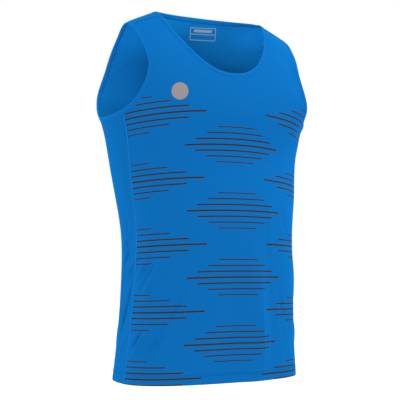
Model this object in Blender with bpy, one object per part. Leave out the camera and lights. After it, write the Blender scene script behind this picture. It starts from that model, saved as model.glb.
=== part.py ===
"""Sleeveless running singlet, worn shape, hollow: two body panels, two side panels and three edge bindings.

Every piece is a closed sheet of cloth cut from one hollow body form.  The form is a stack of level sections,
each a rounded rectangle with its own half width, front depth and back depth, and the shoulder line is the
ridge where front and back meet.  A point of the form is named by its heading round the body (0 degrees is
the centre front, +90 degrees the wearer's left side, 180 degrees the centre back) and its height.
Frame: metres, X to the wearer's left, -Y to the front, Z up; the origin lies between the two shoulder
straps, level with their highest points.
"""
import math
import bmesh
import bpy
import numpy as np

# driving sizes, metres
BODY_LENGTH = 0.700
WALL = 0.0012
BINDING_WALL = 0.0018
SEAM_GAP = 0.0003
NECK_BAND = 0.0088
ARM_BAND = 0.0098

# neckline: fall of the front scoop and rise of the back, below and above the shoulder line
NECK_FRONT_FALL = 0.1222
NECK_FRONT_POWER = 1.604
NECK_SIDE_POWER = 0.872
NECK_BACK_RISE = 0.0139
NECK_BACK_POWER = 0.8

# armhole in side view: its highest and lowest height, reach to front and back, how square it is above and
# below, how far its lowest point lies to the back, and how much more the front reaches below than above
ARM_TOP = -0.0259
ARM_BOTTOM = -0.2087
ARM_FRONT_REACH = 0.0907
ARM_BACK_REACH = 0.0708
ARM_FRONT_SQUARE = (1.81, 2.55)
ARM_BACK_SQUARE = (2.80, 1.68)
ARM_BOTTOM_SHIFT = 0.0151
ARM_FRONT_SKEW = -0.324

# level sections, one row each
# height, half_width, front_depth, back_depth, middle_y, squareness, front_seam_deg, back_seam_deg
SECTIONS = (
    (-0.700, 0.1867, 0.0872, 0.1238, -0.0139, 2.54, 80.4, 107.0),
    (-0.600, 0.1775, 0.1002, 0.1111, -0.0122, 2.52, 77.6, 108.0),
    (-0.500, 0.1734, 0.1102, 0.0987, -0.0105, 2.48, 74.9, 109.5),
    (-0.420, 0.1743, 0.1166, 0.1010, -0.0057, 2.35, 72.6, 111.0),
    (-0.340, 0.1881, 0.1176, 0.1104, 0.0014, 2.16, 70.0, 112.0),
    (-0.270, 0.1996, 0.1193, 0.1178, 0.0098, 2.03, 67.7, 113.0),
    (-0.205, 0.2186, 0.1247, 0.1149, 0.0072, 2.14, 65.6, 114.0),
    (-0.160, 0.2376, 0.1153, 0.1134, 0.0040, 2.39, 64.4, 115.0),
    (-0.110, 0.2333, 0.0959, 0.1063, 0.0015, 2.63, 63.2, 116.0),
    (-0.070, 0.2197, 0.0757, 0.0908, 0.0034, 2.68, 62.3, 117.0),
    (-0.045, 0.1975, 0.0613, 0.0789, 0.0058, 2.55, 61.6, 118.0),
    (-0.022, 0.1645, 0.0493, 0.0660, 0.0072, 2.35, 61.2, 119.0),
    (0.000, 0.1151, 0.0276, 0.0640, 0.0000, 2.18, 60.8, 120.0),
    (0.030, 0.0616, 0.0119, 0.0519, 0.0037, 2.11, 60.4, 121.0),
)

# soft folds of the hanging cloth, one row each: heading and height of the middle, half length, half width,
# lean of its run from upright (positive leans to the wearer's left at the top) and rise (negative: a trough)
# heading_deg, height, half_length, half_width, lean_deg, rise
FOLDS = (
    (-51.7, -0.485, 0.115, 0.013, 23.6, 0.0026),
    (-58.9, -0.470, 0.100, 0.014, 26.0, -0.0020),
    (-38.0, -0.575, 0.104, 0.012, 26.3, 0.0024),
    (-45.0, -0.575, 0.089, 0.013, 27.4, -0.0020),
    (-60.1, -0.612, 0.060, 0.010, 35.1, 0.0018),
    (13.7, -0.590, 0.195, 0.0420, -4.5, 0.0120),
    (-10.9, -0.434, 0.070, 0.014, 18.8, 0.0012),
    (-2.7, -0.601, 0.081, 0.015, 4.9, 0.0012),
    (-86.5, -0.428, 0.090, 0.011, 10.6, -0.0016),
    (-99.3, -0.508, 0.100, 0.012, 14.9, 0.0018),
    (-45.4, -0.274, 0.049, 0.012, 49.2, 0.0010),
    (86.0, -0.450, 0.100, 0.012, -12.0, -0.0018),
    (97.0, -0.540, 0.090, 0.012, -9.0, 0.0018),
    (64.0, -0.520, 0.100, 0.013, -24.0, 0.0020),
    (133.0, -0.520, 0.110, 0.015, 20.0, 0.0024),
    (150.0, -0.470, 0.085, 0.014, 12.0, -0.0018),
    (176.0, -0.560, 0.105, 0.016, 3.0, 0.0020),
    (-160.0, -0.500, 0.090, 0.014, -10.0, -0.0020),
    (-143.0, -0.560, 0.110, 0.015, -22.0, 0.0024),
    (-124.0, -0.480, 0.085, 0.013, -27.0, -0.0018),
    (118.0, -0.600, 0.060, 0.012, 26.0, -0.0016),
    (62.0, -0.200, 0.055, 0.050, 0.0, -0.0062),
)
FOLD_RADIUS = 0.165

# cells of the sheets
SEAM_ROWS = 24
ARM_FRONT_CELLS = 19
ARM_BACK_CELLS = 19
ARM_SIDE_CELLS = 8
STRAP_CELLS = 5
NECK_FRONT_CELLS = 24
NECK_BACK_CELLS = 18
BAND_CELLS = 2
DENSE = 720
RELAX_STEPS = 300

# colours, linear
BLUE = (0.0045, 0.150, 0.480, 1.0)
BLUE_SIDE = (0.0045, 0.147, 0.470, 1.0)
BLUE_BAND = (0.0045, 0.155, 0.495, 1.0)


def natural_spline(knots, values):
    """Smooth curve through a table column, straight at both ends."""
    knots = np.asarray(knots, float)
    values = np.asarray(values, float)
    n = len(knots)
    h = np.diff(knots)
    slope = np.diff(values) / h
    matrix = np.eye(n)
    right = np.zeros(n)
    for i in range(1, n - 1):
        matrix[i, i - 1] = h[i - 1]
        matrix[i, i] = 2.0 * (h[i - 1] + h[i])
        matrix[i, i + 1] = h[i]
        right[i] = 6.0 * (slope[i] - slope[i - 1])
    bend = np.linalg.solve(matrix, right)

    def curve(x):
        x = np.asarray(x, float)
        i = np.clip(np.searchsorted(knots, x) - 1, 0, n - 2)
        low = x - knots[i]
        high = knots[i + 1] - x
        step = h[i]
        cubic = (bend[i] * high ** 3 + bend[i + 1] * low ** 3) / (6.0 * step)
        lower = (values[i] / step - bend[i] * step / 6.0) * high
        upper = (values[i + 1] / step - bend[i + 1] * step / 6.0) * low
        return cubic + lower + upper

    return curve


COLUMNS = list(zip(*SECTIONS))
half_width = natural_spline(COLUMNS[0], COLUMNS[1])
front_depth = natural_spline(COLUMNS[0], COLUMNS[2])
back_depth = natural_spline(COLUMNS[0], COLUMNS[3])
middle_y = natural_spline(COLUMNS[0], COLUMNS[4])
squareness = natural_spline(COLUMNS[0], COLUMNS[5])
front_seam = natural_spline(COLUMNS[0], COLUMNS[6])
back_seam = natural_spline(COLUMNS[0], COLUMNS[7])


def fold_rise(heading, height):
    """Outward rise of the folds: each row is a hill or trough with smooth ends."""
    total = np.zeros(np.broadcast(heading, height).shape)
    for middle_deg, middle_height, half_length, half_wide, lean_deg, rise in FOLDS:
        turn = heading - math.radians(middle_deg)
        turn = (turn + math.pi) % (2.0 * math.pi) - math.pi
        side = turn * FOLD_RADIUS
        up = height - middle_height
        lean = math.radians(lean_deg)
        along = side * math.sin(lean) + up * math.cos(lean)
        across = side * math.cos(lean) - up * math.sin(lean)
        p = np.clip(np.abs(along) / half_length, 0.0, 1.0)
        q = np.clip(np.abs(across) / half_wide, 0.0, 1.0)
        total = total + rise * np.cos(p * math.pi / 2.0) ** 2 * np.cos(q * math.pi / 2.0) ** 2
    return total


def form(heading, height):
    """Point of the body form, halfway through the cloth."""
    heading = np.asarray(heading, float)
    height = np.asarray(height, float) + 0.0 * heading
    s = np.sin(heading)
    c = np.cos(heading)
    n = squareness(height)
    reach = (np.abs(s) ** n + np.abs(c) ** n) ** (-1.0 / n)
    wide = half_width(height)
    deep = np.where(c > 0.0, front_depth(height), back_depth(height))
    radius = reach * np.hypot(wide * s, deep * c)
    reach = reach * (1.0 + fold_rise(heading, height) / radius)
    return np.stack([wide * reach * s, middle_y(height) - deep * reach * c, height], -1)


def heading_of(points):
    """Heading of points on the form."""
    height = points[..., 2]
    dy = middle_y(height) - points[..., 1]
    deep = np.where(dy > 0.0, front_depth(height), back_depth(height))
    return np.arctan2(points[..., 0] / half_width(height), dy / deep)


def on_form(points):
    """Points moved level onto the form."""
    return form(heading_of(points), points[..., 2])


def normals_at(points):
    """Outward unit normals of the form at points on it."""
    step = 1e-4
    heading = heading_of(points)
    height = points[..., 2]
    across = form(heading + step, height) - form(heading - step, height)
    upward = form(heading, height + step) - form(heading, height - step)
    n = np.cross(across, upward)
    return n / np.linalg.norm(n, axis=-1, keepdims=True)


def neck_edge(count):
    """Neckline as a closed loop: front half from right to left, then the back half."""
    half = np.linspace(0.0, math.pi, count + 1)[:-1]
    c = -np.cos(half)
    s = np.sin(half)
    x = half_width(0.0) * np.sign(c) * np.abs(c) ** NECK_SIDE_POWER
    z = -NECK_FRONT_FALL * np.abs(s) ** NECK_FRONT_POWER
    n = squareness(z)
    level = (1.0 - np.minimum(np.abs(x) / half_width(z), 1.0) ** n) ** (1.0 / n)
    y = middle_y(z) - front_depth(z) * level
    front = on_form(np.stack([x, y, z], -1))
    heading = math.pi / 2.0 + half
    back = form(heading, NECK_BACK_RISE * np.abs(np.cos(heading)) ** NECK_BACK_POWER)
    return np.concatenate([front, back])


def arm_edge(count):
    """Left armhole as a closed loop: top, front, bottom, back."""
    turn = np.linspace(0.0, 2.0 * math.pi, count + 1)[:-1]
    fall = (1.0 - np.cos(turn)) / 2.0
    is_front = turn < math.pi
    top_square = np.where(is_front, ARM_FRONT_SQUARE[0], ARM_BACK_SQUARE[0])
    low_square = np.where(is_front, ARM_FRONT_SQUARE[1], ARM_BACK_SQUARE[1])
    square = top_square * (1.0 - fall) + low_square * fall
    front_reach = ARM_FRONT_REACH * (1.0 + ARM_FRONT_SKEW * np.cos(turn))
    reach = np.where(is_front, -front_reach, ARM_BACK_REACH)
    z = ARM_TOP + (ARM_BOTTOM - ARM_TOP) * fall
    centre = middle_y(ARM_TOP) * (1.0 - fall) + ARM_BOTTOM_SHIFT * fall
    y = centre + reach * np.abs(np.sin(turn)) ** (2.0 / square)
    dy = middle_y(z) - y
    deep = np.where(dy > 0.0, front_depth(z), back_depth(z))
    n = squareness(z)
    x = half_width(z) * (1.0 - np.minimum(np.abs(dy) / deep, 1.0) ** n) ** (1.0 / n)
    return on_form(np.stack([x, y, z], -1))


def closed_tangents(loop):
    t = np.roll(loop, -1, axis=0) - np.roll(loop, 1, axis=0)
    return t / np.linalg.norm(t, axis=-1, keepdims=True)


def march(loop, width, steps):
    """Closed loop moved over the form by a width, away from the hole it rounds."""
    middle = loop.mean(axis=0)
    moved = loop.copy()
    for _ in range(steps):
        out = np.cross(closed_tangents(moved), normals_at(moved))
        sign = np.sign(((loop - middle) * out).sum(axis=-1).sum())
        moved = on_form(moved + sign * out * (width / steps))
    return moved


def crossings(value):
    """Places, in steps along a closed loop, where a value changes sign."""
    following = np.roll(value, -1)
    places = np.nonzero((value < 0.0) != (following < 0.0))[0]
    return places + value[places] / (value[places] - following[places])


def loop_at(loop, places):
    """Points of a closed loop at fractional places."""
    n = len(loop)
    low = np.floor(places).astype(int)
    part = (places - low)[:, None]
    return loop[low % n] * (1.0 - part) + loop[(low + 1) % n] * part


def even_places(loop, start, end, count):
    """Places from start to end of a closed loop at even lengths."""
    fine = np.linspace(start, end, 400)
    points = loop_at(loop, fine)
    length = np.concatenate([[0.0], np.cumsum(np.linalg.norm(np.diff(points, axis=0), axis=-1))])
    return np.interp(np.linspace(0.0, length[-1], count + 1), length, fine)


def nearest_place(places, target, total):
    gap = (places - target + total / 2.0) % total - total / 2.0
    i = int(np.argmin(np.abs(gap)))
    return target + gap[i]


def grid_between(bottom, top, left, right):
    """Sheet of points between four edges, laid on the form and then relaxed until no cell is crossed."""
    u = np.linspace(0.0, 1.0, len(bottom))[None, :, None]
    v = np.linspace(0.0, 1.0, len(left))[:, None, None]
    ruled = (1.0 - v) * bottom[None] + v * top[None] + (1.0 - u) * left[:, None] + u * right[:, None]
    corners = (1.0 - v) * ((1.0 - u) * bottom[0] + u * bottom[-1]) + v * ((1.0 - u) * top[0] + u * top[-1])
    grid = ruled - corners
    grid[1:-1, 1:-1] = on_form(grid[1:-1, 1:-1])
    for _ in range(RELAX_STEPS):
        east = grid[1:-1, 2:]
        west = grid[1:-1, :-2]
        north = grid[2:, 1:-1]
        south = grid[:-2, 1:-1]
        diagonal = (grid[2:, 2:] - grid[2:, :-2] - grid[:-2, 2:] + grid[:-2, :-2]) / 4.0
        across = (east - west) / 2.0
        upward = (north - south) / 2.0
        uu = (across * across).sum(axis=-1, keepdims=True)
        vv = (upward * upward).sum(axis=-1, keepdims=True)
        uv = (across * upward).sum(axis=-1, keepdims=True)
        mean = (vv * (east + west) + uu * (north + south) - 2.0 * uv * diagonal) / (2.0 * (uu + vv))
        grid[1:-1, 1:-1] = on_form(mean)
    return grid


def inset(grid, closed):
    """Open edges of a sheet moved inward by half the seam gap."""
    normal = normals_at(grid)
    moved = grid.copy()
    half = SEAM_GAP / 2.0
    for row, inner in ((0, 1), (-1, -2)):
        way = grid[inner] - grid[row]
        if closed:
            along = closed_tangents(grid[row])
        else:
            along = np.gradient(grid[row], axis=0)
            along = along / np.linalg.norm(along, axis=-1, keepdims=True)
        out = np.cross(along, normal[row])
        out = out * np.sign((out * way).sum(axis=-1, keepdims=True))
        moved[row] = moved[row] + half * out
    if not closed:
        for column, inner in ((0, 1), (-1, -2)):
            way = grid[:, inner] - grid[:, column]
            along = np.gradient(grid[:, column], axis=0)
            along = along / np.linalg.norm(along, axis=-1, keepdims=True)
            out = np.cross(along, normal[:, column])
            out = out * np.sign((out * way).sum(axis=-1, keepdims=True))
            moved[:, column] = moved[:, column] + half * out
    return moved, normal


def sheet_solid(name, grid, wall, colour, closed=False):
    """Closed solid of one cloth piece: the sheet's outer and inner faces and the rim between them."""
    middle, normal = inset(grid, closed)
    rows, columns = middle.shape[:2]
    outer = (middle + normal * wall / 2.0).reshape(-1, 3)
    inner = (middle - normal * wall / 2.0).reshape(-1, 3)
    shift = rows * columns
    faces = []
    spans = columns if closed else columns - 1
    for i in range(rows - 1):
        for j in range(spans):
            k = (j + 1) % columns
            a = i * columns + j
            b = i * columns + k
            c = (i + 1) * columns + k
            d = (i + 1) * columns + j
            faces.append((a, b, c, d))
            faces.append((a + shift, d + shift, c + shift, b + shift))
    for i, turned in ((0, False), (rows - 1, True)):
        for j in range(spans):
            k = (j + 1) % columns
            a = i * columns + j
            b = i * columns + k
            quad = (a, a + shift, b + shift, b)
            faces.append(quad[::-1] if turned else quad)
    if not closed:
        for j, turned in ((0, True), (columns - 1, False)):
            for i in range(rows - 1):
                a = i * columns + j
                b = (i + 1) * columns + j
                quad = (a, a + shift, b + shift, b)
                faces.append(quad[::-1] if turned else quad)
    mesh = bpy.data.meshes.new(name)
    mesh.from_pydata(np.concatenate([outer, inner]).tolist(), [], faces)
    work = bmesh.new()
    work.from_mesh(mesh)
    bmesh.ops.recalc_face_normals(work, faces=work.faces)
    if work.calc_volume(signed=True) < 0.0:
        bmesh.ops.reverse_faces(work, faces=work.faces)
    work.to_mesh(mesh)
    work.free()
    for polygon in mesh.polygons:
        polygon.use_smooth = True
    mesh.update()
    mesh.materials.append(colour)
    item = bpy.data.objects.new(name, mesh)
    bpy.context.scene.collection.objects.link(item)
    return item


def cloth_material(name, colour):
    material = bpy.data.materials.new(name)
    material.use_nodes = True
    shader = material.node_tree.nodes["Principled BSDF"]
    shader.inputs["Base Color"].default_value = colour
    shader.inputs["Roughness"].default_value = 0.75
    return material


def mirrored(points):
    """Points of the left half carried over to the right half of the form."""
    return on_form(points * np.array([-1.0, 1.0, 1.0]))


for old in list(bpy.data.objects):
    bpy.data.objects.remove(old, do_unlink=True)

# neckline and the left armhole: cut edges and the inner lines of their bindings
neck_outer = neck_edge(DENSE)
neck_inner = march(neck_outer, NECK_BAND, 6)
arm_outer = arm_edge(DENSE)
arm_inner = march(arm_outer, ARM_BAND, 6)

# places along the neck's inner line where it meets the shoulder line
neck_heading = heading_of(neck_inner)
neck_total = len(neck_inner)
ridge = crossings(np.abs(neck_heading) - math.pi / 2.0)
neck_right = nearest_place(ridge, 0.0, neck_total)
neck_left = nearest_place(ridge, neck_total / 2.0, neck_total)
front_places = even_places(neck_inner, neck_right, neck_left, NECK_FRONT_CELLS)
back_places = even_places(neck_inner, neck_left, neck_right + neck_total, NECK_BACK_CELLS)
neck_front_line = loop_at(neck_inner, front_places)
neck_back_line = loop_at(neck_inner, back_places)
neck_places = np.concatenate([front_places[:-1], back_places[:-1]])

# places along the armhole's inner line: shoulder line, front side seam and back side seam
arm_heading = heading_of(arm_inner)
arm_total = len(arm_inner)
arm_top = nearest_place(crossings(arm_heading - math.pi / 2.0), 0.0, arm_total)
seam_front_gap = arm_heading - np.radians(front_seam(arm_inner[:, 2]))
seam_back_gap = arm_heading - np.radians(back_seam(arm_inner[:, 2]))
arm_front = nearest_place(crossings(seam_front_gap), arm_total * 0.45, arm_total)
arm_back = nearest_place(crossings(seam_back_gap), arm_total * 0.55, arm_total)
arm_front_places = even_places(arm_inner, arm_top, arm_front, ARM_FRONT_CELLS)
arm_side_places = even_places(arm_inner, arm_front, arm_back, ARM_SIDE_CELLS)
arm_back_places = even_places(arm_inner, arm_back, arm_top + arm_total, ARM_BACK_CELLS)
arm_front_line = loop_at(arm_inner, arm_front_places)
arm_side_line = loop_at(arm_inner, arm_side_places)
arm_back_line = loop_at(arm_inner, arm_back_places)
arm_places = np.concatenate([arm_front_places[:-1], arm_side_places[:-1], arm_back_places[:-1]])


def seam_line(seam, top_point):
    """Left side seam from the hem up to its end on the armhole's inner line."""
    z = np.linspace(-BODY_LENGTH, top_point[2], SEAM_ROWS + 1)
    line = form(np.radians(seam(z)), z)
    line[-1] = top_point
    return line


def shoulder_line(outer_point, inner_point):
    """Left shoulder seam from the armhole to the neck."""
    z = np.linspace(outer_point[2], inner_point[2], STRAP_CELLS + 1)
    line = form(math.pi / 2.0 + 0.0 * z, z)
    line[0] = outer_point
    line[-1] = inner_point
    return line


front_seam_line = seam_line(front_seam, arm_front_line[-1])
back_seam_line = seam_line(back_seam, arm_back_line[0])
shoulder = shoulder_line(arm_front_line[0], neck_front_line[-1])
hem_cells = 2 * STRAP_CELLS

# front panel, across from the wearer's right to left and up from the hem
edge_heading = math.radians(front_seam(-BODY_LENGTH))
hem_turns = np.linspace(-edge_heading, edge_heading, NECK_FRONT_CELLS + hem_cells + 1)
front_bottom = form(hem_turns, -BODY_LENGTH + 0.0 * hem_turns)
front_top = np.concatenate([mirrored(shoulder), neck_front_line[1:-1], shoulder[::-1]])
front_left = np.concatenate([front_seam_line, arm_front_line[::-1][1:]])
front_grid = grid_between(front_bottom, front_top, mirrored(front_left), front_left)

# back panel, across from the wearer's left to right
edge_heading = math.radians(back_seam(-BODY_LENGTH))
hem_turns = np.linspace(edge_heading, 2.0 * math.pi - edge_heading, NECK_BACK_CELLS + hem_cells + 1)
back_bottom = form(hem_turns, -BODY_LENGTH + 0.0 * hem_turns)
back_top = np.concatenate([shoulder, neck_back_line[1:-1], mirrored(shoulder)[::-1]])
back_left = np.concatenate([back_seam_line, arm_back_line[1:]])
back_grid = grid_between(back_bottom, back_top, back_left, mirrored(back_left))

# left side panel, across from its front seam to its back seam
low = math.radians(front_seam(-BODY_LENGTH))
high = math.radians(back_seam(-BODY_LENGTH))
side_turns = np.linspace(low, high, ARM_SIDE_CELLS + 1)
side_bottom = form(side_turns, -BODY_LENGTH + 0.0 * side_turns)
left_grid = grid_between(side_bottom, arm_side_line, front_seam_line, back_seam_line)
side_bottom = form(-side_turns, -BODY_LENGTH + 0.0 * side_turns)
right_front_seam = mirrored(front_seam_line)
right_back_seam = mirrored(back_seam_line)
right_grid = grid_between(side_bottom, mirrored(arm_side_line), right_front_seam, right_back_seam)


def band_grid(outer, inner, places):
    """Sheet of a binding from the cut edge to its inner line, round the whole hole."""
    edge = loop_at(outer, places)
    line = loop_at(inner, places)
    rows = []
    for i in range(BAND_CELLS + 1):
        part = i / BAND_CELLS
        row = edge * (1.0 - part) + line * part
        rows.append(on_form(row) if 0 < i < BAND_CELLS else row)
    return np.stack(rows)


neck_grid = band_grid(neck_outer, neck_inner, neck_places)
arm_grid = band_grid(arm_outer, arm_inner, arm_places)

body_cloth = cloth_material("body_cloth", BLUE)
side_cloth = cloth_material("side_cloth", BLUE_SIDE)
band_cloth = cloth_material("band_cloth", BLUE_BAND)
sheet_solid("front_panel", front_grid, WALL, body_cloth)
sheet_solid("back_panel", back_grid, WALL, body_cloth)
sheet_solid("side_panel_right", right_grid, WALL, side_cloth)
sheet_solid("side_panel_left", left_grid, WALL, side_cloth)
sheet_solid("neck_binding", neck_grid, BINDING_WALL, band_cloth, closed=True)
sheet_solid("armhole_binding_right", mirrored(arm_grid), BINDING_WALL, band_cloth, closed=True)
sheet_solid("armhole_binding_left", arm_grid, BINDING_WALL, band_cloth, closed=True)
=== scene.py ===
import math

import bpy
import numpy as np
from mathutils import Matrix, Vector


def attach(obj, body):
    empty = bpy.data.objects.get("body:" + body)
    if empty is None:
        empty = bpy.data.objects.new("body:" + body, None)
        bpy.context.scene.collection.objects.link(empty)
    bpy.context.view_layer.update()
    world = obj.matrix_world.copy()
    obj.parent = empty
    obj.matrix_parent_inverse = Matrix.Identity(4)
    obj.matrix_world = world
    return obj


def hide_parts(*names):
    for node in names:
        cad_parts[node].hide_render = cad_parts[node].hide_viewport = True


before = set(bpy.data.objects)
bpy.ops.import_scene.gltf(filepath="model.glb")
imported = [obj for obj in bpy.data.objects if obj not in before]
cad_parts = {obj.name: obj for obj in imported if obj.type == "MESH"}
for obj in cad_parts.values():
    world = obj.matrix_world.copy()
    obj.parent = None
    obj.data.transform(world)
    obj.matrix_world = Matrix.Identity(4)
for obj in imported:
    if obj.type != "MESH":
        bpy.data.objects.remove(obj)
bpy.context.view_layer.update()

# ---------------------------------------------------------------- sizes, metres
BODY_LENGTH = 0.700
SEAM_HALF_GAP = 0.00018

# thickness of the knit; how much thicker and how deep the turned hem is, over what height it thickens, how
# far up its lower edge is rounded and what share of the thickness is rounded away there
CLOTH = 0.0011
HEM_EXTRA = 0.0005
HEM_DEPTH = 0.019
HEM_EASE = 0.0040
HEM_ROUNDING = 0.0012
HEM_ROUNDED_SHARE = 0.55

# bindings: shown widths, thickness through the fold, and how far the cloth reaches under them; the powers
# that square the fold's section across and through, and the share by which it is thinner at its edges
NECK_BAND = 0.0088
ARM_BAND = 0.0098
BAND_THICK = 0.0023
UNDER_BAND = 0.0020
BAND_ACROSS_POWER = 0.35
BAND_THROUGH_POWER = 0.62
BAND_CROWN = 0.14

# neckline: fall of the front scoop and rise of the back, below and above the shoulder line
NECK_FRONT_FALL = 0.1222
NECK_FRONT_POWER = 1.604
NECK_SIDE_POWER = 0.872
NECK_BACK_RISE = 0.0139
NECK_BACK_POWER = 0.8

# armhole in side view: its highest and lowest height, reach to front and back, how square it is above and
# below, how far its lowest point lies to the back, and how much more the front reaches below than above
ARM_TOP = -0.0259
ARM_BOTTOM = -0.2087
ARM_FRONT_REACH = 0.0907
ARM_BACK_REACH = 0.0708
ARM_FRONT_SQUARE = (1.81, 2.55)
ARM_BACK_SQUARE = (2.80, 1.68)
ARM_BOTTOM_SHIFT = 0.0151
ARM_FRONT_SKEW = -0.324

# level sections of the body form, one row each
# height, half_width, front_depth, back_depth, middle_y, squareness, front_seam_deg, back_seam_deg
SECTIONS = (
    (-0.700, 0.1867, 0.0872, 0.1238, -0.0139, 2.54, 80.4, 107.0),
    (-0.600, 0.1775, 0.1002, 0.1111, -0.0122, 2.52, 77.6, 108.0),
    (-0.500, 0.1734, 0.1102, 0.0987, -0.0105, 2.48, 74.9, 109.5),
    (-0.420, 0.1743, 0.1166, 0.1010, -0.0057, 2.35, 72.6, 111.0),
    (-0.340, 0.1881, 0.1176, 0.1104, 0.0014, 2.16, 70.0, 112.0),
    (-0.270, 0.1996, 0.1193, 0.1178, 0.0098, 2.03, 67.7, 113.0),
    (-0.205, 0.2186, 0.1247, 0.1149, 0.0072, 2.14, 65.6, 114.0),
    (-0.160, 0.2376, 0.1153, 0.1134, 0.0040, 2.39, 64.4, 115.0),
    (-0.110, 0.2333, 0.0959, 0.1063, 0.0015, 2.63, 63.2, 116.0),
    (-0.070, 0.2197, 0.0757, 0.0908, 0.0034, 2.68, 62.3, 117.0),
    (-0.045, 0.1975, 0.0613, 0.0789, 0.0058, 2.55, 61.6, 118.0),
    (-0.022, 0.1645, 0.0493, 0.0660, 0.0072, 2.35, 61.2, 119.0),
    (0.000, 0.1151, 0.0276, 0.0640, 0.0000, 2.18, 60.8, 120.0),
    (0.030, 0.0616, 0.0119, 0.0519, 0.0037, 2.11, 60.4, 121.0),
)

# soft folds of the hanging cloth, one row each: heading and height of the middle, half length, half width,
# lean of its run from upright (positive leans to the wearer's left at the top) and rise (negative: a trough)
# heading_deg, height, half_length, half_width, lean_deg, rise
FOLDS = (
    (-51.7, -0.485, 0.115, 0.013, 23.6, 0.0026),
    (-58.9, -0.470, 0.100, 0.014, 26.0, -0.0020),
    (-38.0, -0.575, 0.104, 0.012, 26.3, 0.0024),
    (-45.0, -0.575, 0.089, 0.013, 27.4, -0.0020),
    (-60.1, -0.612, 0.060, 0.010, 35.1, 0.0018),
    (13.7, -0.590, 0.195, 0.0420, -4.5, 0.0120),
    (-10.9, -0.434, 0.070, 0.014, 18.8, 0.0012),
    (-2.7, -0.601, 0.081, 0.015, 4.9, 0.0012),
    (-86.5, -0.428, 0.090, 0.011, 10.6, -0.0016),
    (-99.3, -0.508, 0.100, 0.012, 14.9, 0.0018),
    (-45.4, -0.274, 0.049, 0.012, 49.2, 0.0010),
    (86.0, -0.450, 0.100, 0.012, -12.0, -0.0018),
    (97.0, -0.540, 0.090, 0.012, -9.0, 0.0018),
    (64.0, -0.520, 0.100, 0.013, -24.0, 0.0020),
    (133.0, -0.520, 0.110, 0.015, 20.0, 0.0024),
    (150.0, -0.470, 0.085, 0.014, 12.0, -0.0018),
    (176.0, -0.560, 0.105, 0.016, 3.0, 0.0020),
    (-160.0, -0.500, 0.090, 0.014, -10.0, -0.0020),
    (-143.0, -0.560, 0.110, 0.015, -22.0, 0.0024),
    (-124.0, -0.480, 0.085, 0.013, -27.0, -0.0018),
    (118.0, -0.600, 0.060, 0.012, 26.0, -0.0016),
    (62.0, -0.200, 0.055, 0.050, 0.0, -0.0062),
)
FOLD_RADIUS = 0.165

# sharper creases of the thin cloth on top of the soft folds, in the same columns
CREASES = (
    (-56.0, -0.504, 0.059, 0.0070, 33.9, 0.0045),
    (-61.3, -0.507, 0.052, 0.0060, 37.9, -0.0023),
    (-66.4, -0.488, 0.038, 0.0060, 42.6, 0.0021),
    (-35.1, -0.557, 0.044, 0.0080, 22.9, 0.0026),
    (-63.8, -0.625, 0.054, 0.0060, 43.8, 0.0046),
    (-67.8, -0.620, 0.038, 0.0050, 44.8, -0.0028),
    (-43.6, -0.625, 0.050, 0.0100, 32.0, 0.0062),
    (-52.6, -0.626, 0.044, 0.0080, 36.3, -0.0022),
    (-31.9, -0.607, 0.018, 0.0060, 13.5, 0.0014),
    (17.3, -0.590, 0.175, 0.0065, -4.5, 0.0013),
    (39.9, -0.581, 0.076, 0.0070, -28.9, -0.0014),
    (36.0, -0.575, 0.106, 0.0110, -12.0, -0.0014),
    (24.2, -0.417, 0.076, 0.0100, -2.8, 0.0018),
    (39.0, -0.406, 0.055, 0.0070, -25.1, -0.0020),
    (37.1, -0.674, 0.033, 0.0150, -7.2, 0.0012),
    (-88.8, -0.436, 0.048, 0.0065, 60.9, 0.0032),
    (-88.1, -0.463, 0.050, 0.0065, 42.8, -0.0030),
    (-81.9, -0.492, 0.046, 0.0065, 44.3, 0.0030),
    (-85.8, -0.553, 0.095, 0.0080, 29.5, -0.0034),
    (-94.8, -0.581, 0.075, 0.0070, 18.4, 0.0024),
    (-92.0, -0.634, 0.036, 0.0060, 38.4, 0.0022),
    (-73.0, -0.330, 0.170, 0.0180, 5.0, -0.0017),
    (78.0, -0.222, 0.036, 0.0320, 0.0, -0.0028),
    (-143.9, -0.096, 0.036, 0.0080, -32.1, -0.0016),
    (-139.8, -0.080, 0.031, 0.0080, -28.7, 0.0014),
    (35.0, -0.108, 0.060, 0.0160, -3.0, -0.0022),
    (-43.0, -0.269, 0.040, 0.0070, 48.0, 0.0014),
    (-49.0, -0.258, 0.036, 0.0070, 52.0, -0.0010),
    (80.0, -0.470, 0.080, 0.0070, -28.0, -0.0020),
    (92.0, -0.575, 0.075, 0.0065, -20.0, 0.0018),
    (60.0, -0.610, 0.050, 0.0065, -36.0, 0.0020),
    (131.0, -0.560, 0.085, 0.0080, 24.0, 0.0022),
    (143.0, -0.470, 0.060, 0.0070, 30.0, -0.0016),
    (166.0, -0.600, 0.070, 0.0080, 6.0, 0.0018),
    (-151.0, -0.545, 0.090, 0.0080, -16.0, 0.0022),
    (-136.0, -0.500, 0.060, 0.0070, -30.0, -0.0018),
    (-121.0, -0.600, 0.060, 0.0065, -34.0, 0.0018),
)

# how far the printed lines of the front hang lower beside the body than at its middle, by height
SAG_HEIGHTS = (-0.700, -0.650, -0.420, -0.200, -0.100)
SAG_DROPS = (0.002, 0.003, 0.009, 0.018, 0.020)
SAG_REACH = 0.20

# sewing: pitch and length of the stitches, radius of the thread, and how far each row lies from its edge, as
# heights over the hem, as shares of a binding's width and as a length beside a side seam; how high a
# binding's row lies, as a share of its thickness, and a stitch's blunt ends, in radians, and its fullness
LONG_STITCH = (0.0030, 0.0027)
BAND_STITCH = (0.0028, 0.0025)
HEM_THREAD = 0.00032
FINE_THREAD = 0.00030
HEM_ROWS = (0.0155, 0.0185)
NECK_ROW = 0.80
ARM_ROW = 0.82
SEAM_ROW = 0.0026
BAND_ROW_LIFT = 0.45
STITCH_END = 0.12
STITCH_FULLNESS_POWER = 0.6

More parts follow.
